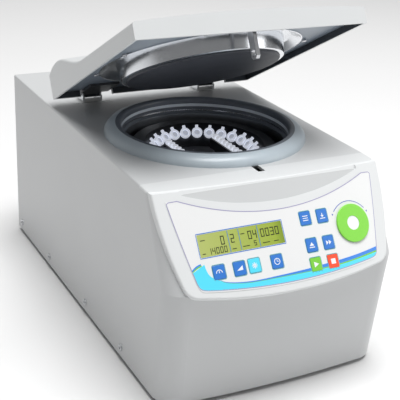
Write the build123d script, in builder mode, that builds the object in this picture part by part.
from build123d import *

import os
from math import asin, cos, pi, radians, sin, sqrt, tan

# A refrigerated bench-top microcentrifuge: a sheet-steel cabinet with a sloped
# control panel, a cooled rotor chamber under a hinged lid, and its drive, cooling
# and electrical parts inside.  Millimetres, +Z up, the operator stands at -Y, and
# the origin is on the bench under the middle of the cabinet.

os.makedirs("parts", exist_ok=True)

# ---------------------------------------------------------------- driving sizes
cabinet_width = 290
cabinet_back_y = 275
deck_z = 244
foot_height = 6
foot_radius = 11
foot_inset = 36
sheet = 3
fit_gap = 0.3
touch_gap = 0.02

panel_tilt = 33.1
panel_top_y = -213
panel_top_drop = 1
panel_height = 104
panel_bulge_radius = 1600
bezel_proud = 4
crease_y = -176.5
base_front_y = -254.5
base_corner_radius = 28
nose_corner_radius = 25
top_corner_radius = 9
deck_edge_radius = 2.2

chamber_y = -47
bowl_radius = 100
bowl_wall = 1.5
bowl_floor_z = 128
bowl_rim_z = 236
collar_radius = 124.4
collar_crest_radius = 107
collar_rise = 12.6
collar_bore_radius = 103.3
collar_neck_radius = 115.5
foam_wall = 9
coil_tube_radius = 3

lid_open_angle = 28
lid_reach = 320
lid_wall = 3
lid_skirt = 9.3
hinge_y = 127.5
hinge_z = 254
hinge_x = 85
hinge_pin_radius = 3
hinge_knuckle_width = 21
dish_reach = 174.5
dish_flange_radius = 125
dish_rim_radius = 100
dish_drop = 18
dish_sheet = 1.5
striker_reach = 306
striker_thickness = 4.5
striker_depth = 37

rotor_radius = 95
tube_count = 24
tube_ring_radius = 59.5
tube_ring_z = 224
tube_angle = 45
tube_body_radius = 5.3
tube_cap_radius = 6.9
tube_length = 38
shaft_radius = 6
bearing_gap = 0.05

motor_radius = 38
motor_plate_z = 44
motor_top_z = 108

# ---------------------------------------------------------------- derived sizes
half_width = cabinet_width / 2
side_inner_x = half_width - sheet
lid_half_width = half_width - 0.6
floor_z = foot_height
floor_top_z = floor_z + 2
deck_under_z = deck_z - sheet
panel_top_z = deck_z - panel_top_drop
panel_bottom_z = panel_top_z - panel_height
shell_nose_z = panel_bottom_z + 9
bezel_step = bezel_proud / cos(radians(panel_tilt))
shell_top_y = panel_top_y + bezel_step
shell_nose_y = shell_top_y - (panel_top_z - shell_nose_z) * tan(radians(panel_tilt))
front_arc_radius = panel_bulge_radius * cos(radians(panel_tilt))
panel_outward = Vector(0, -cos(radians(panel_tilt)), sin(radians(panel_tilt)))
panel_up = Vector(0, sin(radians(panel_tilt)), cos(radians(panel_tilt)))
panel_top = Vector(0, panel_top_y, panel_top_z)
panel = Plane(origin=panel_top, x_dir=(1, 0, 0), z_dir=panel_outward)

lid_forward = Vector(0, -cos(radians(lid_open_angle)), sin(radians(lid_open_angle)))
lid_up = Vector(0, sin(radians(lid_open_angle)), cos(radians(lid_open_angle)))
hinge_point = Vector(0, hinge_y, hinge_z)
lid_side = Plane(origin=hinge_point, x_dir=lid_forward, z_dir=(-1, 0, 0))
lid_flat = Plane(origin=hinge_point, x_dir=(-1, 0, 0), z_dir=lid_up)
dish_centre = hinge_point + lid_forward * dish_reach
dish_axis = Axis(dish_centre, lid_up)
dish_profile = Plane(origin=dish_centre, x_dir=(1, 0, 0), z_dir=lid_forward)
chamber_axis = Axis((0, chamber_y, 0), (0, 0, 1))
chamber_profile = Plane(origin=(0, chamber_y, 0), x_dir=(1, 0, 0), z_dir=(0, -1, 0))


def finish(piece, name):
    """Label one finished piece and write it to its own STEP file."""
    piece.part.label = name
    export_step(piece.part, f"parts/{name}.step")


def slope(height_z):
    """Distance along the sloped panel for a height, zero at the panel's top edge."""
    return (height_z - panel_top_z) / cos(radians(panel_tilt))


def bulge(x, depth=0):
    """How far the bulged panel has fallen back at a distance from its middle."""
    radius = panel_bulge_radius - depth
    return depth + radius - sqrt(radius ** 2 - x ** 2)


def panel_seat(x, height_z, lift=0):
    """Plane lying on the bulged panel at a spot, facing straight out of it."""
    lean = asin(x / panel_bulge_radius)
    outward = panel_outward * cos(lean) + Vector(1, 0, 0) * sin(lean)
    sideways = Vector(1, 0, 0) * cos(lean) - panel_outward * sin(lean)
    spot = panel_top + Vector(x, 0, 0) + panel_up * slope(height_z)
    spot = spot - panel_outward * bulge(x) + outward * lift
    return Plane(origin=spot, x_dir=sideways, z_dir=outward)


def panel_slab(front, back, low_z, high_z):
    """Solid that follows the panel's bulge between two depths behind its face."""
    reach = half_width + 4
    across = Plane(origin=panel_top + panel_up * slope(low_z), x_dir=(1, 0, 0), z_dir=panel_up)
    with BuildPart() as slab:
        with BuildSketch(across):
            with BuildLine():
                near = ThreePointArc((-reach, bulge(reach, front)), (0, front), (reach, bulge(reach, front)))
                far = ThreePointArc((-reach, bulge(reach, back)), (0, back), (reach, bulge(reach, back)))
                Line(near @ 0, far @ 0)
                Line(near @ 1, far @ 1)
            make_face()
        extrude(amount=slope(high_z) - slope(low_z))
    return slab.part


def panel_outline(top_x, waist_x, foot_x, waist_z, side_low_z, foot_middle_z, corner, top_z):
    """Five-sided panel outline: straight top, sides that draw in, bowed foot."""
    with BuildSketch(panel) as outline:
        with BuildLine():
            top_right = (top_x, slope(top_z))
            low_right = (foot_x, slope(side_low_z))
            low_left = (-foot_x, slope(side_low_z))
            Line((-top_x, slope(top_z)), top_right)
            ThreePointArc(top_right, (waist_x, slope(waist_z)), low_right)
            ThreePointArc(low_right, (0, slope(foot_middle_z)), low_left)
            ThreePointArc(low_left, (-waist_x, slope(waist_z)), (-top_x, slope(top_z)))
        make_face()
        fillet(outline.vertices().group_by(Axis.Y)[0], corner)
    return outline.sketch


def cabinet_section(height_z, front_y, corner, inset):
    """Level cut through the cabinet's outside, or its inside when inset."""
    reach = half_width - inset
    fall = front_arc_radius - sqrt(front_arc_radius ** 2 - reach ** 2)
    rear = cabinet_back_y + inset
    front = front_y + inset
    with BuildSketch(Plane.XY.offset(height_z)) as section:
        with BuildLine():
            Polyline((-reach, front + fall), (-reach, rear), (reach, rear), (reach, front + fall))
            ThreePointArc((reach, front + fall), (0, front), (-reach, front + fall))
        make_face()
        fillet(section.vertices().group_by(Axis.Y)[0], corner)
    return section.sketch


def cabinet_body(inset, low_z, high_z):
    """Cabinet volume between its foot and its deck."""
    lean = (shell_nose_y - base_front_y) / (shell_nose_z - floor_z)
    low_y = base_front_y + lean * (low_z - floor_z)
    high_y = shell_nose_y + (high_z - shell_nose_z) * tan(radians(panel_tilt))
    with BuildPart() as body:
        lower = [
            cabinet_section(low_z, low_y, base_corner_radius - inset, inset),
            cabinet_section(shell_nose_z, shell_nose_y, nose_corner_radius - inset, inset),
        ]
        loft(lower, ruled=True)
        upper = [
            cabinet_section(shell_nose_z, shell_nose_y, nose_corner_radius - inset, inset),
            cabinet_section(high_z, high_y, top_corner_radius - inset, inset),
        ]
        loft(upper, ruled=True)
    return body.part


def is_deck_side_edge(edge):
    """True for the long edges where the deck turns down into the sides."""
    middle = edge.center()
    on_side = abs(abs(middle.X) - half_width) < 0.1
    return on_side and abs(middle.Z - deck_z) < 0.1 and edge.length > 50


# ---------------------------------------------------------------- base and feet
screw_ys = [-133.2, -13.5, 129.1, 256]
screw_z = 18.5
screw_shank = 2
flange_height = 24
foot_spots = [(x, y) for x in (-half_width + foot_inset, half_width - foot_inset)
              for y in (base_front_y + foot_inset, cabinet_back_y - foot_inset)]

with BuildPart() as base_plate:
    flange_front_y = base_front_y + base_corner_radius + 12
    flange_length = cabinet_back_y - sheet - flange_front_y
    flange_middle_y = flange_front_y + flange_length / 2
    plate_outline = cabinet_section(floor_z, base_front_y, base_corner_radius - sheet, sheet + touch_gap)
    extrude(plate_outline, amount=floor_top_z - floor_z)
    with BuildSketch(Plane.XY.offset(floor_z)):
        with Locations((0, cabinet_back_y + 10)):
            Rectangle(cabinet_width, 20 + 2 * sheet)
    extrude(amount=floor_top_z - floor_z, mode=Mode.SUBTRACT)
    with BuildSketch(Plane.XY.offset(floor_top_z)):
        for side in (-1, 1):
            with Locations((side * (side_inner_x - touch_gap - 1), flange_middle_y)):
                Rectangle(2, flange_length)
    extrude(amount=flange_height)
    with BuildSketch(Plane.YZ.offset(-half_width)):
        with Locations(*[(y, screw_z) for y in screw_ys]):
            Circle(screw_shank + touch_gap)
    extrude(amount=cabinet_width, mode=Mode.SUBTRACT)
finish(base_plate, "base_plate")

with BuildPart() as feet:
    with Locations(*[(x, y, 0) for x, y in foot_spots]):
        Cone(foot_radius - 1.5, foot_radius, foot_height, align=(Align.CENTER, Align.CENTER, Align.MIN))
finish(feet, "feet")

# ---------------------------------------------------------------- cabinet cover
slot_y = hinge_y - striker_reach
slot_width = 9
slot_length = 19
ear_thickness = 2.5
ear_x = hinge_knuckle_width / 2 + 0.5 + ear_thickness / 2
ear_length = 22
hinge_slit_y = 114.5
hinge_slit_length = 48.4
control_opening_z = 214
control_opening_x = 112

with BuildPart() as housing_cover:
    add(cabinet_body(0, floor_z, deck_z))
    add(cabinet_body(sheet, floor_z - 1, deck_under_z), mode=Mode.SUBTRACT)
    with BuildSketch(Plane.YZ):
        strip_front = panel_top_y - 12
        strip_drop = panel_top_drop * (crease_y - strip_front) / (crease_y - panel_top_y)
        Polygon((crease_y, deck_z), (strip_front, deck_z), (strip_front, deck_z - strip_drop), align=None)
    extrude(amount=cabinet_width, both=True, mode=Mode.SUBTRACT)
    with BuildSketch(Plane.XY.offset(deck_under_z - 1)):
        with Locations((0, chamber_y)):
            Circle(collar_neck_radius + touch_gap)
        with Locations((0, slot_y)):
            RectangleRounded(slot_width, slot_length, 1)
        for side in (-1, 1):
            with Locations((side * hinge_x, hinge_slit_y)):
                Rectangle(hinge_slit_length, 1.6)
            with Locations((side * hinge_x - ear_x, hinge_y), (side * hinge_x + ear_x, hinge_y)):
                Rectangle(ear_thickness + fit_gap, ear_length + 2 * fit_gap)
    extrude(amount=sheet + 2, mode=Mode.SUBTRACT)
    with BuildSketch(panel.offset(2)):
        opening_height = slope(control_opening_z) - slope(shell_nose_z + 1)
        with Locations((0, slope(control_opening_z) - opening_height / 2)):
            RectangleRounded(2 * control_opening_x, opening_height, 4)
    extrude(amount=-18, mode=Mode.SUBTRACT)
    with BuildSketch(Plane.YZ.offset(-half_width - 1)):
        with Locations(*[(y, screw_z) for y in screw_ys]):
            Circle(screw_shank + touch_gap)
    extrude(amount=cabinet_width + 2, mode=Mode.SUBTRACT)
    fillet(housing_cover.edges().filter_by(is_deck_side_edge), deck_edge_radius)
finish(housing_cover, "housing_cover")

# ---------------------------------------------------------------- control panel
key_width = 13.8
key_height = 15
key_lift = 0.9
key_travel = 0.8
display_left = -104.3
display_right = -3
display_low_z = 184
display_high_z = 204.5
knob_x = 89.2
knob_z = 190.7
knob_radius = 22
knob_rise = 1.6
knob_hub_radius = 8.2
membrane_half = 0.4
membrane_corner = 9
membrane_top_z = 237.6
scoop_half = 112.5
scoop_low_z = 223.6
scoop_depth = 1.7
keys = {
    "key_speed": (-87.6, 169),
    "key_accel": (-63.6, 168.7),
    "key_cool": (-45.7, 168.8),
    "key_time": (-18.2, 168.5),
    "key_program": (28.3, 202.6),
    "key_save": (50.7, 202.3),
    "key_open": (29, 177.1),
    "key_pulse": (51.4, 176.9),
    "key_start": (29.1, 159),
    "key_stop": (51.9, 158.9),
}


def panel_patch(outline, front, back):
    """Piece of the bulged slab between two depths, trimmed to an outline on the panel."""
    with BuildPart() as patch:
        add(panel_slab(front, back, panel_bottom_z - 8, panel_top_z + 8))
        extrude(outline, amount=60, both=True, mode=Mode.INTERSECT)
    return patch.part


def key_outlines(clearance):
    """Outlines of all the keys, laid on the flat panel plane."""
    with BuildSketch(panel) as outlines:
        with Locations(*[(x, slope(z)) for x, z in keys.values()]):
            RectangleRounded(key_width + 2 * clearance, key_height + 2 * clearance, 1.6)
    return outlines.sketch


def display_outline(clearance):
    """Outline of the display opening, laid on the flat panel plane."""
    middle_x = (display_left + display_right) / 2
    middle_s = (slope(display_low_z) + slope(display_high_z)) / 2
    tall = slope(display_high_z) - slope(display_low_z)
    with BuildSketch(panel) as outline:
        with Locations((middle_x, middle_s)):
            RectangleRounded(display_right - display_left + 2 * clearance, tall + 2 * clearance, 1)
    return outline.sketch


def membrane_outline():
    """Outline of the printed membrane, with its top following the finger scoop."""
    with BuildSketch(panel) as outline:
        whole = panel_outline(130, 122.8, 112.5, 197, 154.5, 146.6, membrane_corner, membrane_top_z)
        add(panel.to_local_coords(whole))
        with BuildLine():
            end_s = slope(membrane_top_z)
            scoop = ThreePointArc((-118.7, end_s), (0, slope(215.8)), (118.7, end_s))
            Line(scoop @ 1, scoop @ 0)
        make_face(mode=Mode.SUBTRACT)
    return outline.sketch


def scoop_outline():
    """Outline of the finger scoop cut into the top of the bezel."""
    with BuildSketch(panel) as outline:
        with BuildLine():
            end_s = slope(panel_top_z - 1)
            over_s = slope(panel_top_z + 4)
            low = ThreePointArc((-scoop_half, end_s), (0, slope(scoop_low_z)), (scoop_half, end_s))
            Polyline(low @ 1, (scoop_half, over_s), (-scoop_half, over_s), low @ 0)
        make_face()
    return outline.sketch


knob_seat = panel_seat(knob_x, knob_z)
knob_shaft_radius = 3
board_depth = 12
board_thickness = 1.6
board_half = 110
board_low_z = 154
board_high_z = 213
flange_depth = bezel_proud + fit_gap
flange_thickness = 1.5
switch_depth = flange_depth + flange_thickness + key_travel + 0.2

with BuildPart() as front_bezel:
    bezel_edge = panel_outline(144, 140.2, 126.5, 203, 151, panel_bottom_z, 18, panel_top_z + 7)
    add(panel_patch(bezel_edge, 0, 16))
    face_axis = Axis(panel_top, panel_outward)
    slope_axis = Axis(panel_top, panel_up)
    front_face = front_bezel.faces().sort_by(face_axis)[-1]
    fillet(front_face.edges().sort_by(slope_axis)[:-1], 2.2)
    add(cabinet_body(0, floor_z, deck_z), mode=Mode.SUBTRACT)
    with BuildSketch(Plane.XY.offset(panel_top_z)):
        with Locations((0, panel_top_y)):
            Rectangle(cabinet_width + 20, 60)
    extrude(amount=30, mode=Mode.SUBTRACT)
    add(panel_patch(scoop_outline(), -6, scoop_depth), mode=Mode.SUBTRACT)
    add(panel_patch(membrane_outline(), -6, membrane_half), mode=Mode.SUBTRACT)
    extrude(key_outlines(fit_gap), amount=-30, mode=Mode.SUBTRACT)
    extrude(display_outline(0), amount=-30, mode=Mode.SUBTRACT)
    with BuildSketch(knob_seat.offset(1)):
        Circle(knob_shaft_radius + 2)
    extrude(amount=-20, mode=Mode.SUBTRACT)
finish(front_bezel, "front_bezel")

with BuildPart() as control_membrane:
    add(panel_patch(membrane_outline(), -membrane_half, membrane_half))
    extrude(key_outlines(fit_gap), amount=30, both=True, mode=Mode.SUBTRACT)
    extrude(display_outline(0), amount=30, both=True, mode=Mode.SUBTRACT)
    with BuildSketch(knob_seat.offset(1)):
        Circle(knob_shaft_radius + 2)
    extrude(amount=-20, mode=Mode.SUBTRACT)
finish(control_membrane, "control_membrane")

with BuildPart() as display_window:
    add(panel_patch(display_outline(-touch_gap), -membrane_half, membrane_half))
finish(display_window, "display_window")

display_middle_x = (display_left + display_right) / 2
display_seat = panel_seat(display_middle_x, (display_low_z + display_high_z) / 2)
display_wide = display_right - display_left
display_tall = slope(display_high_z) - slope(display_low_z)
glass_depth = membrane_half + bulge(display_wide / 2) + fit_gap
module_back = board_depth - bulge(display_middle_x) - bulge(display_wide / 2) - 1.4
with BuildPart() as display_module:
    with BuildSketch(display_seat.offset(-glass_depth)):
        Rectangle(display_wide - 4 * fit_gap, display_tall - 4 * fit_gap)
    extrude(amount=glass_depth - module_back)
    with BuildSketch(display_seat.offset(-bezel_proud - 1.2)):
        Rectangle(display_wide + 2.4, display_tall + 2.4)
    extrude(amount=bezel_proud + 1.2 - module_back)
finish(display_module, "display_module")

board_tall = slope(board_high_z) - slope(board_low_z)
board_middle = (slope(board_high_z) + slope(board_low_z)) / 2
with BuildPart() as display_board:
    with BuildSketch(panel.offset(-board_depth)):
        with Locations((0, board_middle)):
            with GridLocations(2 * (board_half - 3), board_tall - 8, 2, 2):
                Circle(2.4)
    extrude(amount=board_depth - bezel_proud - bulge(board_half) + 2)
    add(front_bezel.part, mode=Mode.SUBTRACT)
    with BuildSketch(panel.offset(-board_depth)):
        with Locations((0, board_middle)):
            Rectangle(2 * board_half, board_tall)
    extrude(amount=-board_thickness)
    for key_x, key_z in keys.values():
        with BuildSketch(panel_seat(key_x, key_z, -switch_depth)):
            Rectangle(6, 6)
        extrude(amount=switch_depth + bulge(key_x) - board_depth - 0.4)
finish(display_board, "display_board")

for key_name, (key_x, key_z) in keys.items():
    key_seat = panel_seat(key_x, key_z)
    with BuildPart() as key:
        with BuildSketch(key_seat.offset(key_lift)):
            RectangleRounded(key_width, key_height, 1.5)
        extrude(amount=-key_lift - flange_depth)
        fillet(key.faces().sort_by(Axis(key_seat.origin, key_seat.z_dir))[-1].edges(), 0.5)
        with BuildSketch(key_seat.offset(-flange_depth)):
            RectangleRounded(key_width + 2, key_height + 2, 2)
        extrude(amount=-flange_thickness)
    finish(key, key_name)

with BuildPart() as jog_knob:
    knob_foot = membrane_half + 0.4
    with BuildSketch(knob_seat.offset(knob_foot)):
        Circle(knob_radius)
    extrude(amount=knob_rise)
    fillet(jog_knob.faces().sort_by(Axis(knob_seat.origin, knob_seat.z_dir))[-1].edges(), 0.7)
    with BuildSketch(knob_seat.offset(knob_foot + knob_rise)):
        Circle(knob_hub_radius)
    extrude(amount=-0.5, mode=Mode.SUBTRACT)
    with BuildSketch(knob_seat.offset(knob_foot)):
        Circle(knob_shaft_radius)
    extrude(amount=-8)
finish(jog_knob, "jog_knob")

with BuildPart() as encoder:
    with BuildSketch(knob_seat.offset(-5)):
        Rectangle(13, 13)
    extrude(amount=5 + bulge(knob_x) - board_depth + 0.5)
    with BuildSketch(knob_seat.offset(-1)):
        Circle(knob_shaft_radius + 1.6)
    extrude(amount=-4)
    with BuildSketch(knob_seat.offset(-1)):
        Circle(knob_shaft_radius + bearing_gap)
    extrude(amount=-7.6, mode=Mode.SUBTRACT)
finish(encoder, "encoder")

# ---------------------------------------------------------------- chamber
with BuildPart() as chamber_collar:
    with BuildSketch(chamber_profile):
        with BuildLine():
            crest_z = deck_z + collar_rise
            foot = (collar_radius, deck_z)
            crest = (collar_crest_radius, crest_z)
            lip = (collar_bore_radius, crest_z - 4)
            EllipticalCenterArc((collar_crest_radius, deck_z), collar_radius - collar_crest_radius,
                                collar_rise, start_angle=0, arc_size=90)
            ThreePointArc(crest, (collar_bore_radius + 1.1, crest_z - 1.2), lip)
            Polyline(lip, (collar_bore_radius, bowl_rim_z + 4), (bowl_radius, bowl_rim_z + 0.5),
                     (collar_neck_radius, bowl_rim_z + 0.5), (collar_neck_radius, deck_z), foot)
        make_face()
    revolve(axis=chamber_axis)
finish(chamber_collar, "chamber_collar")

with BuildPart() as chamber_bowl:
    with BuildSketch(chamber_profile):
        with BuildLine():
            outside = bowl_radius + bowl_wall
            under = bowl_floor_z - bowl_wall
            corner = 14
            Polyline((18, bowl_floor_z), (bowl_radius - corner, bowl_floor_z))
            RadiusArc((bowl_radius - corner, bowl_floor_z), (bowl_radius, bowl_floor_z + corner), -corner)
            Polyline((bowl_radius, bowl_floor_z + corner), (bowl_radius, bowl_rim_z + 0.5 - touch_gap),
                     (113, bowl_rim_z + 0.5 - touch_gap), (113, bowl_rim_z - bowl_wall),
                     (outside, bowl_rim_z - bowl_wall), (outside, bowl_floor_z + corner))
            RadiusArc((outside, bowl_floor_z + corner), (bowl_radius - corner, under), corner + bowl_wall)
            Polyline((bowl_radius - corner, under), (18, under), (18, bowl_floor_z))
        make_face()
    revolve(axis=chamber_axis)
finish(chamber_bowl, "chamber_bowl")

coil_ring_radius = bowl_radius + bowl_wall + coil_tube_radius + fit_gap
foam_inner = coil_ring_radius + coil_tube_radius + fit_gap
foam_low_z = bowl_floor_z - bowl_wall - 16
with BuildPart() as evaporator_coil:
    with Locations(*[(0, chamber_y, bowl_floor_z + 20 + 14 * turn) for turn in range(6)]):
        Torus(coil_ring_radius, coil_tube_radius)
finish(evaporator_coil, "evaporator_coil")

with BuildPart() as insulation:
    with BuildSketch(chamber_profile):
        with BuildLine():
            Polyline((24, foam_low_z), (foam_inner + foam_wall, foam_low_z),
                     (foam_inner + foam_wall, bowl_rim_z - bowl_wall), (foam_inner, bowl_rim_z - bowl_wall),
                     (foam_inner, bowl_floor_z - bowl_wall), (24, bowl_floor_z - bowl_wall), close=True)
        make_face()
    revolve(axis=chamber_axis)
finish(insulation, "insulation")

post_radius = 8
post_spread_x = 184
post_spread_y = 150
with BuildPart() as chamber_posts:
    with BuildSketch(Plane.XY.offset(floor_top_z)):
        with Locations((0, chamber_y)):
            with GridLocations(post_spread_x, post_spread_y, 2, 2):
                Circle(post_radius)
    extrude(amount=foam_low_z - floor_top_z)
finish(chamber_posts, "chamber_posts")

# ---------------------------------------------------------------- drive
motor_boss_z = foam_low_z + 8
bore_low_z = motor_top_z - 20
isolator_pitch = 124
with BuildPart() as motor_plate:
    with BuildSketch(Plane.XY.offset(motor_plate_z)):
        with Locations((0, chamber_y)):
            RectangleRounded(150, 150, 8)
    extrude(amount=4)
finish(motor_plate, "motor_plate")

with BuildPart() as motor_isolators:
    with BuildSketch(Plane.XY.offset(floor_top_z)):
        with Locations((0, chamber_y)):
            with GridLocations(isolator_pitch, isolator_pitch, 2, 2):
                Circle(9)
    extrude(amount=motor_plate_z - floor_top_z)
finish(motor_isolators, "motor_isolators")

with BuildPart() as drive_motor:
    with BuildSketch(Plane.XY.offset(motor_plate_z + 4)):
        with Locations((0, chamber_y)):
            Circle(motor_radius)
    extrude(amount=motor_top_z - motor_plate_z - 4)
    fillet(drive_motor.edges().group_by(Axis.Z)[-1], 4)
    with BuildSketch(Plane.XY.offset(motor_top_z)):
        with Locations((0, chamber_y)):
            Circle(16)
    extrude(amount=motor_boss_z - motor_top_z)
    with BuildSketch(Plane.XY.offset(bore_low_z)):
        with Locations((0, chamber_y)):
            Circle(shaft_radius + bearing_gap)
    extrude(amount=motor_boss_z - bore_low_z, mode=Mode.SUBTRACT)
finish(drive_motor, "drive_motor")

hub_z = 208
shaft_top_z = 217
with BuildPart() as drive_shaft:
    with BuildSketch(Plane.XY.offset(bore_low_z + 0.5)):
        with Locations((0, chamber_y)):
            Circle(shaft_radius)
    extrude(amount=shaft_top_z - bore_low_z - 0.5)
finish(drive_shaft, "drive_shaft")

# ---------------------------------------------------------------- rotor and its tubes
lean = radians(tube_angle)
rotor_low_z = 168
seat_depth = 4.8
seat_radius = tube_ring_radius + seat_depth * sin(lean)
seat_z = tube_ring_z - seat_depth * cos(lean)
well_radius = 50
well_z = seat_z - (seat_radius - well_radius) / tan(lean)
crown_radius = 74
crown_z = seat_z + (crown_radius - seat_radius) / tan(lean)
first_tube_angle = 11.5
tube_planes = []
for number in range(tube_count):
    turn = radians(first_tube_angle + 360 / tube_count * number)
    ring_spot = (tube_ring_radius * cos(turn), chamber_y + tube_ring_radius * sin(turn), tube_ring_z)
    inward_up = (-sin(lean) * cos(turn), -sin(lean) * sin(turn), cos(lean))
    outward_up = (cos(lean) * cos(turn), cos(lean) * sin(turn), sin(lean))
    tube_planes.append(Plane(origin=ring_spot, x_dir=outward_up, z_dir=inward_up))
strip_x = 33
strip_pitch = 9
strip_count = 8
strip_top_z = 226.5
carrier_z = strip_top_z - 5
strip_spots = [(0, (place - (strip_count - 1) / 2) * strip_pitch) for place in range(strip_count)]


def tube_body(clearance):
    """Tapered barrel of one sample tube, hanging below its cap."""
    wide = tube_body_radius + clearance
    with BuildPart() as barrel:
        with BuildSketch(Plane.XZ):
            with BuildLine():
                Polyline((0, -2), (wide, -2), (wide, -22), (1.8 + clearance, -tube_length - clearance),
                         (0, -tube_length - clearance), close=True)
            make_face()
        revolve(axis=Axis.Z)
    return barrel.part


with BuildPart() as rotor:
    with BuildSketch(chamber_profile):
        with BuildLine():
            Polyline((shaft_radius + touch_gap, rotor_low_z), (24, rotor_low_z), (30, rotor_low_z + 14),
                     (66, rotor_low_z + 14), (72, rotor_low_z), (rotor_radius - 8, rotor_low_z),
                     (rotor_radius, rotor_low_z + 12), (rotor_radius, crown_z - 7),
                     (rotor_radius - 7, crown_z), (crown_radius, crown_z), (well_radius, well_z),
                     (20, well_z), (20, hub_z), (shaft_radius + touch_gap, hub_z), close=True)
        make_face()
    revolve(axis=chamber_axis)
    with BuildSketch(Plane.XY.offset(well_z - 1)):
        with Locations((-strip_x, chamber_y), (strip_x, chamber_y)):
            RectangleRounded(12, strip_count * strip_pitch + 1, 2)
    extrude(amount=carrier_z - well_z + 1)
    with Locations(*tube_planes):
        add(tube_body(fit_gap), mode=Mode.SUBTRACT)
    with BuildSketch(Plane.XY.offset(carrier_z)):
        for strip_side in (-strip_x, strip_x):
            with Locations(*[(strip_side, chamber_y + y) for x, y in strip_spots]):
                Circle(3.4)
    extrude(amount=-17, mode=Mode.SUBTRACT)
finish(rotor, "rotor")

with BuildPart() as sample_tube:
    add(tube_body(0))
    with BuildSketch(Plane.XY.offset(-2.4)):
        Circle(tube_cap_radius - 0.3)
    extrude(amount=-2)
    with BuildSketch(Plane.XY.offset(-2.4)):
        Circle(tube_cap_radius)
        with Locations((tube_cap_radius + 1, 0)):
            Rectangle(5, 3.6)
    extrude(amount=2.4)
    with BuildSketch(Plane.XY):
        Circle(4.2)
    extrude(amount=-1.1, mode=Mode.SUBTRACT)

with BuildPart() as sample_tubes:
    with Locations(*tube_planes):
        add(sample_tube.part)
finish(sample_tubes, "sample_tubes")

with BuildPart() as strip_tubes:
    for strip_side in (-strip_x, strip_x):
        with BuildSketch(Plane.XY.offset(carrier_z + touch_gap)):
            with Locations((strip_side, chamber_y)):
                RectangleRounded(7.6, strip_count * strip_pitch - 1, 1)
        extrude(amount=1.2)
        with BuildSketch(Plane.XY.offset(carrier_z + 1)):
            with Locations(*[(strip_side, chamber_y + y) for x, y in strip_spots]):
                Circle(3.6)
        extrude(amount=strip_top_z - carrier_z - 1)
        with BuildSketch(Plane.XY.offset(carrier_z + 1)):
            with Locations(*[(strip_side, chamber_y + y) for x, y in strip_spots]):
                Circle(3)
        extrude(amount=-16, taper=4)
finish(strip_tubes, "strip_tubes")

with BuildPart() as rotor_nut:
    with BuildSketch(Plane.XY.offset(hub_z)):
        with Locations((0, chamber_y)):
            Circle(14)
    extrude(amount=shaft_top_z + 3 - hub_z)
    chamfer(rotor_nut.edges().group_by(Axis.Z)[-1], 1.5)
    with BuildSketch(Plane.XY.offset(hub_z)):
        with Locations((0, chamber_y)):
            with PolarLocations(14.5, 12):
                Circle(1.6)
    extrude(amount=20, mode=Mode.SUBTRACT)
    with BuildSketch(Plane.XY.offset(hub_z)):
        with Locations((0, chamber_y)):
            Circle(shaft_radius + touch_gap)
    extrude(amount=shaft_top_z + touch_gap - hub_z, mode=Mode.SUBTRACT)
finish(rotor_nut, "rotor_nut")

# ---------------------------------------------------------------- lid latch
bolt_z = hinge_z - 30
bolt_radius = 3
catch_gap = 8
catch_sheet = 3
catch_low_z = bolt_z - 16
with BuildPart() as latch_catch:
    with BuildSketch(Plane.XY.offset(catch_low_z)):
        for side in (-1, 1):
            with Locations((side * (catch_gap + catch_sheet / 2), slot_y)):
                Rectangle(catch_sheet, slot_length + 8)
    extrude(amount=deck_under_z - catch_low_z)
    with BuildSketch(Plane.XY.offset(catch_low_z - catch_sheet)):
        with Locations((0, slot_y)):
            Rectangle(2 * (catch_gap + catch_sheet), slot_length + 8)
    extrude(amount=catch_sheet)
    with BuildSketch(Plane.YZ.offset(-catch_gap - catch_sheet - 1)):
        with Locations((slot_y, bolt_z)):
            Circle(bolt_radius + bearing_gap)
    extrude(amount=2 * (catch_gap + catch_sheet + 1), mode=Mode.SUBTRACT)
finish(latch_catch, "latch_catch")

coil_x = catch_gap + catch_sheet
coil_length = 34
with BuildPart() as latch_solenoid:
    with BuildSketch(Plane.YZ.offset(coil_x)):
        with Locations((slot_y, bolt_z)):
            RectangleRounded(24, 24, 3)
            Circle(bolt_radius + bearing_gap, mode=Mode.SUBTRACT)
    extrude(amount=coil_length)
finish(latch_solenoid, "latch_solenoid")

with BuildPart() as latch_bolt:
    with BuildSketch(Plane.YZ.offset(coil_x - 6)):
        with Locations((slot_y, bolt_z)):
            Circle(bolt_radius)
    extrude(amount=coil_length + 4)
    chamfer(latch_bolt.edges().group_by(Axis.X)[0], 0.8)
finish(latch_bolt, "latch_bolt")

# ---------------------------------------------------------------- hinges
ear_top_radius = 8.5
bracket_low_z = deck_under_z - sheet
with BuildPart() as hinge_brackets:
    for side in (-1, 1):
        with BuildSketch(Plane.XY.offset(bracket_low_z)):
            with Locations((side * hinge_x, hinge_y + 1)):
                Rectangle(hinge_slit_length, 30)
        extrude(amount=sheet)
        with BuildSketch(Plane.XY.offset(deck_under_z)):
            with Locations((side * hinge_x, hinge_slit_y)):
                Rectangle(hinge_slit_length - 1, 1)
        extrude(amount=sheet + 0.4)
        for ear_side in (-1, 1):
            ear_middle = side * hinge_x + ear_side * ear_x
            with BuildSketch(Plane.YZ.offset(ear_middle - ear_thickness / 2)):
                with Locations((hinge_y, (hinge_z + bracket_low_z) / 2)):
                    Rectangle(ear_length, hinge_z - bracket_low_z - 4)
                with Locations((hinge_y, hinge_z)):
                    Circle(ear_top_radius)
                    Circle(hinge_pin_radius + touch_gap, mode=Mode.SUBTRACT)
            extrude(amount=ear_thickness)
finish(hinge_brackets, "hinge_brackets")

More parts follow.
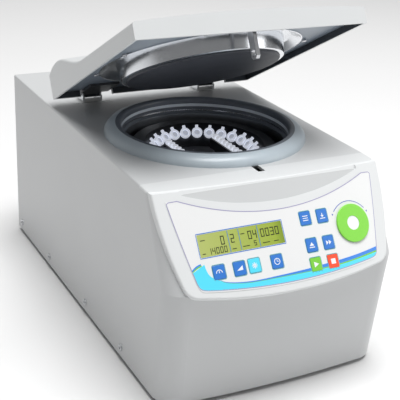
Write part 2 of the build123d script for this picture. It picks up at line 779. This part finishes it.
with BuildPart() as hinge_pins:
    for side in (-1, 1):
        with BuildSketch(Plane.YZ.offset(side * hinge_x - ear_x - ear_thickness / 2)):
            with Locations((hinge_y, hinge_z)):
                Circle(hinge_pin_radius)
        extrude(amount=2 * ear_x + ear_thickness)
        for ear_side in (-1, 1):
            head_plane = Plane.YZ.offset(side * hinge_x + ear_side * (ear_x + ear_thickness / 2 + touch_gap))
            with BuildSketch(head_plane):
                with Locations((hinge_y, hinge_z)):
                    Circle(hinge_pin_radius + 1.6)
            extrude(amount=ear_side * 1.4)
finish(hinge_pins, "hinge_pins")

pan_low = -1
pan_sheet = 1.5
arm_sheet = 3
arm_reach = 62
with BuildPart() as hinge_arms:
    for side in (-1, 1):
        with BuildSketch(lid_side.offset(-side * hinge_x)):
            Circle(6.5)
            with Locations((12, pan_low - arm_sheet / 2)):
                Rectangle(18, arm_sheet)
            Circle(hinge_pin_radius + bearing_gap, mode=Mode.SUBTRACT)
        extrude(amount=hinge_knuckle_width / 2, both=True)
        with BuildSketch(lid_flat.offset(pan_low - arm_sheet)):
            with Locations((-side * hinge_x, (arm_reach + 16) / 2)):
                Rectangle(40, arm_reach - 16)
        extrude(amount=arm_sheet)
finish(hinge_arms, "hinge_arms")

# ---------------------------------------------------------------- lid
lid_crown = 5
lid_corner = 3.8
lid_back_reach = 23
hump_peak_reach = 58
hump_front_reach = 150
hump_height = 19
hump_back_fall = 9
hump_step = 7
lid_front_height = 10
lid_rise = 0.0147


def lid_edge(reach):
    """Height of the lid's top edge at its sides: a long gentle slope and a rear hump."""
    flat = lid_front_height + (lid_reach - reach) * lid_rise
    if reach >= hump_front_reach:
        return flat
    if reach >= hump_peak_reach:
        along = (reach - hump_peak_reach) / (hump_front_reach - hump_peak_reach)
        return flat + hump_height * (1 + cos(pi * along)) / 2
    along = (hump_peak_reach - reach) / (hump_peak_reach - lid_back_reach)
    return flat + hump_height - hump_back_fall * along ** 2


def lid_stations(inset):
    """Places along the lid where its cross cut is drawn."""
    start = lid_back_reach + inset
    steps = int((hump_front_reach - start) / hump_step)
    return [start + hump_step * step for step in range(steps)] + [hump_front_reach, lid_reach - inset]


def lid_section(reach, inset, low):
    """Cross cut of the lid: flat foot, upright sides and a crowned top."""
    half = lid_half_width - inset
    edge = lid_edge(reach) - inset
    cut = Plane(origin=hinge_point + lid_forward * reach, x_dir=(1, 0, 0), z_dir=lid_forward)
    with BuildSketch(cut) as section:
        with BuildLine():
            Polyline((-half, edge), (-half, low), (half, low), (half, edge))
            ThreePointArc((half, edge), (0, edge + lid_crown), (-half, edge))
        make_face()
        fillet(section.vertices().group_by(Axis.Y)[-1], lid_corner - inset)
    return section.sketch


lid_axis = Axis(hinge_point, lid_up)
with BuildPart() as lid_shell:
    loft([lid_section(reach, 0, -lid_skirt) for reach in lid_stations(0)], ruled=True)
    loft([lid_section(reach, lid_wall, -lid_skirt - 5) for reach in lid_stations(lid_wall)], ruled=True,
         mode=Mode.SUBTRACT)
    with BuildSketch(lid_flat.offset(-lid_skirt - 1)):
        with Locations((-hinge_x, lid_back_reach), (hinge_x, lid_back_reach)):
            Rectangle(44, 12)
    extrude(amount=lid_skirt + 1 + pan_low + 0.3, mode=Mode.SUBTRACT)
finish(lid_shell, "lid_shell")

pan_back = lid_back_reach + lid_wall + touch_gap
pan_front = lid_reach - lid_wall - touch_gap
pan_hole_radius = dish_flange_radius - 2
with BuildPart() as lid_pan:
    with BuildSketch(lid_flat.offset(pan_low)):
        with Locations((0, (pan_back + pan_front) / 2)):
            Rectangle(2 * (lid_half_width - lid_wall - touch_gap), pan_front - pan_back)
        with Locations((0, dish_reach)):
            Circle(pan_hole_radius, mode=Mode.SUBTRACT)
    extrude(amount=pan_sheet)
finish(lid_pan, "lid_pan")

flange_low = pan_low - dish_sheet
seat_low = 4.2
with BuildPart() as lid_dish:
    with BuildSketch(dish_profile):
        with BuildLine():
            Polyline((dish_flange_radius, pan_low), (dish_flange_radius, flange_low),
                     (dish_flange_radius - 1.5, flange_low), (112, seat_low),
                     (dish_rim_radius + 3.5, seat_low), (dish_rim_radius, -dish_drop + 1),
                     (dish_rim_radius - 1.5, -dish_drop), (dish_rim_radius - 5, -dish_drop),
                     (dish_rim_radius - 5, -dish_drop + dish_sheet),
                     (dish_rim_radius - 2, -dish_drop + dish_sheet),
                     (dish_rim_radius + 2, seat_low + dish_sheet), (112, seat_low + dish_sheet),
                     (dish_flange_radius - 2.5, pan_low), close=True)
        make_face()
    revolve(axis=dish_axis)
finish(lid_dish, "lid_dish")

disc_radius = dish_rim_radius - 2.4
with BuildPart() as dish_disc:
    with BuildSketch(lid_flat.offset(-dish_drop + dish_sheet + touch_gap)):
        with Locations((0, dish_reach)):
            Circle(disc_radius - 1.5)
    extrude(amount=2)
    with BuildSketch(lid_flat.offset(-dish_drop + dish_sheet + touch_gap)):
        with Locations((0, dish_reach)):
            Circle(dish_rim_radius - 5.3)
    extrude(amount=-dish_sheet - 2.4)
    fillet(dish_disc.edges().group_by(lid_axis)[0], 1.2)
finish(dish_disc, "dish_disc")

with BuildPart() as lid_screws:
    screw_ring = dish_flange_radius + 3.3
    with BuildSketch(lid_flat.offset(flange_low - touch_gap)):
        with Locations((0, dish_reach)):
            with PolarLocations(screw_ring, 8, start_angle=22.5):
                Circle(3.2)
    extrude(amount=-1.6)
    fillet(lid_screws.edges().group_by(lid_axis)[0], 0.9)
    with BuildSketch(lid_flat.offset(flange_low - touch_gap)):
        with Locations((0, dish_reach)):
            with PolarLocations(screw_ring, 8, start_angle=22.5):
                Circle(3.2)
    extrude(amount=-flange_low + touch_gap + pan_low - touch_gap)
finish(lid_screws, "lid_screws")

striker_width = 12
with BuildPart() as lid_striker:
    with BuildSketch(lid_side):
        with BuildLine():
            near = striker_reach - striker_width / 2
            far = striker_reach + striker_width / 2
            Polyline((near, pan_low), (near, 3 - striker_depth), (near + 3, -striker_depth),
                     (far - 3, -striker_depth), (far, 3 - striker_depth), (far, pan_low), close=True)
        make_face()
        with Locations((striker_reach, bolt_z - hinge_z)):
            SlotOverall(8.6, 7.6, mode=Mode.SUBTRACT)
    extrude(amount=striker_thickness / 2, both=True)
    with BuildSketch(lid_flat.offset(pan_low)):
        with Locations((0, striker_reach)):
            Rectangle(26, striker_width)
    extrude(amount=-1.5)
finish(lid_striker, "lid_striker")

# ---------------------------------------------------------------- rear panel
rear_inner_y = cabinet_back_y - sheet
fan_x = 72
fan_z = 76
fan_open_radius = 55
inlet_x = -92
inlet_z = 52
inlet_width = 27.6
inlet_height = 20.2
switch_x = -44
rocker_width = 20
rocker_height = 14
rocker_pin_radius = 1.2
rocker_swing = 12
rear_face = Plane(origin=(0, rear_inner_y, 0), x_dir=(-1, 0, 0), z_dir=(0, 1, 0))
rear_screw_spots = [(x, z) for x in (-132, 132) for z in (floor_top_z + 14, 226)]

with BuildPart() as rear_panel:
    with BuildSketch(rear_face):
        with Locations((0, (floor_top_z + deck_under_z) / 2)):
            Rectangle(2 * (side_inner_x - touch_gap) - 4.2, deck_under_z - floor_top_z - 2 * touch_gap)
        with Locations((-fan_x, fan_z)):
            Circle(fan_open_radius, mode=Mode.SUBTRACT)
        with Locations((-inlet_x, inlet_z)):
            Rectangle(inlet_width + 4, inlet_height + 4, mode=Mode.SUBTRACT)
        with Locations((-switch_x, inlet_z)):
            Rectangle(rocker_width + 5, rocker_height + 5, mode=Mode.SUBTRACT)
        with Locations(*[(90 - 11 * number, 178) for number in range(12)]):
            SlotOverall(34, 5, rotation=90, mode=Mode.SUBTRACT)
    extrude(amount=sheet)
finish(rear_panel, "rear_panel")

with BuildPart() as cabinet_screws:
    for side in (-1, 1):
        head_plane = Plane(origin=(side * half_width, 0, 0), x_dir=(0, side, 0), z_dir=(side, 0, 0))
        with BuildSketch(head_plane):
            with Locations(*[(side * y, screw_z) for y in screw_ys]):
                Circle(4.4)
        extrude(amount=1.8)
        with BuildSketch(head_plane):
            with Locations(*[(side * y, screw_z) for y in screw_ys]):
                Circle(screw_shank)
        extrude(amount=-sheet - 3)
        with BuildSketch(head_plane.offset(1.8)):
            with Locations(*[(side * y, screw_z) for y in screw_ys]):
                RegularPolygon(2, 6)
        extrude(amount=-1.2, mode=Mode.SUBTRACT)
    rims = cabinet_screws.edges().filter_by(GeomType.CIRCLE)
    fillet(rims.filter_by_position(Axis.X, half_width + 1.7, half_width + 2), 0.8)
    with BuildSketch(rear_face.offset(sheet)):
        with Locations(*rear_screw_spots):
            Circle(4)
    extrude(amount=1.8)
    fillet(cabinet_screws.edges().group_by(Axis.Y)[-1], 0.9)
finish(cabinet_screws, "cabinet_screws")

with BuildPart() as mains_inlet:
    with BuildSketch(rear_face.offset(sheet)):
        with Locations((-inlet_x, inlet_z)):
            RectangleRounded(50, 26, 4)
    extrude(amount=2)
    with BuildSketch(rear_face.offset(sheet)):
        with Locations((-inlet_x, inlet_z)):
            Rectangle(inlet_width + 3.6, inlet_height + 3.6)
    extrude(amount=-24)
    with BuildSketch(rear_face.offset(sheet + 2)):
        with Locations((-inlet_x, inlet_z)):
            Rectangle(inlet_width - 3, inlet_height - 3)
    extrude(amount=-17, mode=Mode.SUBTRACT)
    with BuildSketch(rear_face.offset(sheet - 15)):
        with Locations((-inlet_x - 7, inlet_z - 1), (-inlet_x, inlet_z + 3), (-inlet_x + 7, inlet_z - 1)):
            Rectangle(2, 4)
    extrude(amount=11)
finish(mains_inlet, "mains_inlet")

with BuildPart() as switch_housing:
    with BuildSketch(rear_face.offset(sheet)):
        with Locations((-switch_x, inlet_z)):
            RectangleRounded(rocker_width + 9, rocker_height + 9, 2)
    extrude(amount=2)
    with BuildSketch(rear_face.offset(sheet)):
        with Locations((-switch_x, inlet_z)):
            Rectangle(rocker_width + 4.6, rocker_height + 4.6)
    extrude(amount=-18)
    with BuildSketch(rear_face.offset(sheet + 2)):
        with Locations((-switch_x, inlet_z)):
            Rectangle(rocker_width + 1, rocker_height + 1)
    extrude(amount=-16, mode=Mode.SUBTRACT)
    with BuildSketch(Plane.YZ.offset(switch_x - rocker_width / 2 - 1.6)):
        with Locations((rear_inner_y, inlet_z)):
            Circle(rocker_pin_radius)
    extrude(amount=rocker_width + 3.2)
finish(switch_housing, "switch_housing")

with BuildPart() as power_rocker:
    with BuildSketch(Plane.YZ.offset(switch_x)):
        with BuildLine():
            pivot = Vector(rear_inner_y, inlet_z)
            face_half = rocker_height / 2 - 0.8
            face_lean = face_half * tan(radians(rocker_swing / 2))
            top = (pivot.X + 6 - face_lean, pivot.Y + face_half)
            foot = (pivot.X + 6 + face_lean, pivot.Y - face_half)
            Polyline(top, (pivot.X - 4, pivot.Y + 5.8), (pivot.X - 4, pivot.Y - 5.8), foot)
            ThreePointArc(foot, (pivot.X + 4.9, pivot.Y), top)
        make_face()
        with Locations((pivot.X, pivot.Y)):
            Circle(rocker_pin_radius + bearing_gap, mode=Mode.SUBTRACT)
    extrude(amount=rocker_width / 2, both=True)
finish(power_rocker, "power_rocker")

# ---------------------------------------------------------------- cooling
fan_frame_depth = 25
fan_hub_radius = 19
fan_bore_radius = 56
fan_blades = 7
fan_back_y = rear_inner_y
fan_plane = Plane(origin=(fan_x, fan_back_y, fan_z), x_dir=(1, 0, 0), z_dir=(0, -1, 0))
with BuildPart() as fan_frame:
    with BuildSketch(fan_plane):
        RectangleRounded(120, 120, 6)
        Circle(fan_bore_radius, mode=Mode.SUBTRACT)
    extrude(amount=fan_frame_depth)
    with BuildSketch(fan_plane):
        Circle(fan_hub_radius)
        with PolarLocations(0, 4, start_angle=45):
            with Locations((fan_bore_radius / 2 + 4, 0)):
                Rectangle(fan_bore_radius - 2, 5)
    extrude(amount=3)
    with BuildSketch(fan_plane.offset(3)):
        Circle(3)
    extrude(amount=16)
finish(fan_frame, "fan_frame")

with BuildPart() as condenser_fan:
    with BuildSketch(fan_plane.offset(3.6)):
        Circle(fan_hub_radius)
    extrude(amount=18)
    for blade in range(fan_blades):
        turn = radians(360 / fan_blades * blade)
        spoke = Vector(cos(turn), 0, sin(turn))
        blade_root = Vector(fan_x, fan_back_y - 14.5, fan_z) + spoke * (fan_hub_radius - 2)
        root = Plane(origin=blade_root, x_dir=(0, 1, 0), z_dir=spoke)
        with BuildSketch(root):
            Rectangle(24, 1.6, rotation=32)
        extrude(amount=fan_bore_radius - fan_hub_radius - 1)
    with BuildSketch(fan_plane.offset(3.6)):
        Circle(3 + bearing_gap)
    extrude(amount=15.6, mode=Mode.SUBTRACT)
finish(condenser_fan, "condenser_fan")

with BuildPart() as fan_guard:
    with BuildSketch(rear_face.offset(sheet)):
        with Locations((-fan_x, fan_z)):
            for ring in range(4):
                Circle(fan_open_radius + 2 - 13 * ring)
                Circle(fan_open_radius - 0.2 - 13 * ring, mode=Mode.SUBTRACT)
            with PolarLocations(0, 4, start_angle=45):
                with Locations(((fan_open_radius + 18) / 2, 0)):
                    Rectangle(fan_open_radius - 12, 2.4)
    extrude(amount=1.6)
finish(fan_guard, "fan_guard")

condenser_y = rear_inner_y - fan_frame_depth - 14
condenser_height = 128
with BuildPart() as condenser:
    with BuildSketch(Plane.XY.offset(floor_top_z)):
        with Locations((fan_x, condenser_y)):
            Rectangle(126, 26)
    extrude(amount=condenser_height)
    with BuildSketch(Plane.XZ.offset(-condenser_y + 14)):
        with Locations(*[(fan_x, floor_top_z + 10 + 6 * fin) for fin in range(19)]):
            Rectangle(118, 2.4)
    extrude(amount=-6, mode=Mode.SUBTRACT)
finish(condenser, "condenser")

compressor_x = -72
compressor_y = 180
compressor_radius = 52
compressor_top_z = 150
with BuildPart() as compressor:
    with BuildSketch(Plane.XY.offset(floor_top_z)):
        with Locations((compressor_x, compressor_y)):
            RectangleRounded(116, 90, 10)
    extrude(amount=3)
    with BuildSketch(Plane.XY.offset(floor_top_z + 3)):
        with Locations((compressor_x, compressor_y)):
            Circle(compressor_radius)
    extrude(amount=compressor_top_z - floor_top_z - 3)
    fillet(compressor.edges().group_by(Axis.Z)[-1], 22)
finish(compressor, "compressor")

line_radius = 3
line_bend = 11
line_high_z = compressor_top_z + 22
discharge_x = compressor_x + 10
suction_x = compressor_x - 16
with BuildPart() as discharge_line:
    with BuildLine():
        FilletPolyline((discharge_x, compressor_y, compressor_top_z),
                       (discharge_x, compressor_y, line_high_z),
                       (fan_x - 30, compressor_y, line_high_z), (fan_x - 30, condenser_y, line_high_z),
                       (fan_x - 30, condenser_y, floor_top_z + condenser_height), radius=line_bend)
    with BuildSketch(Plane.XY.offset(compressor_top_z)):
        with Locations((discharge_x, compressor_y)):
            Circle(line_radius)
    sweep()
finish(discharge_line, "discharge_line")

suction_turn = radians(115)
suction_radius = foam_inner + foam_wall
suction_z = line_high_z - 6
suction_end = (suction_radius * cos(suction_turn), chamber_y + suction_radius * sin(suction_turn), suction_z)
with BuildPart() as suction_line:
    with BuildLine():
        FilletPolyline((suction_x, compressor_y, compressor_top_z), (suction_x, compressor_y, suction_z),
                       (suction_x, 105, suction_z), suction_end, radius=line_bend)
    with BuildSketch(Plane.XY.offset(compressor_top_z)):
        with Locations((suction_x, compressor_y)):
            Circle(line_radius)
    sweep()
    add(insulation.part, mode=Mode.SUBTRACT)
finish(suction_line, "suction_line")

# ---------------------------------------------------------------- electrical parts
supply_x = -70
supply_height = 42
board_x = 65
electrics_y = -200
electrics_width = 110
board_stand = 10
with BuildPart() as power_supply:
    with BuildSketch(Plane.XY.offset(floor_top_z)):
        with Locations((supply_x, electrics_y)):
            Rectangle(electrics_width, 60)
    extrude(amount=supply_height)
    with BuildSketch(Plane.XY.offset(floor_top_z + supply_height)):
        with Locations((supply_x, electrics_y)):
            with GridLocations(10, 1, 9, 1):
                SlotOverall(44, 4, rotation=90)
    extrude(amount=-3, mode=Mode.SUBTRACT)
finish(power_supply, "power_supply")

with BuildPart() as control_board:
    with BuildSketch(Plane.XY.offset(floor_top_z + board_stand)):
        with Locations((board_x, electrics_y)):
            Rectangle(electrics_width, 70)
    extrude(amount=board_thickness)
    with BuildSketch(Plane.XY.offset(floor_top_z + board_stand + board_thickness)):
        with Locations((board_x - 25, electrics_y - 5), (board_x + 10, electrics_y + 10)):
            Rectangle(22, 22)
        with Locations((board_x + 35, electrics_y - 15)):
            Rectangle(12, 26)
    extrude(amount=7)
    with BuildSketch(Plane.XY.offset(floor_top_z)):
        with Locations((board_x, electrics_y)):
            with GridLocations(electrics_width - 10, 60, 2, 2):
                Circle(3)
    extrude(amount=board_stand)
finish(control_board, "control_board")
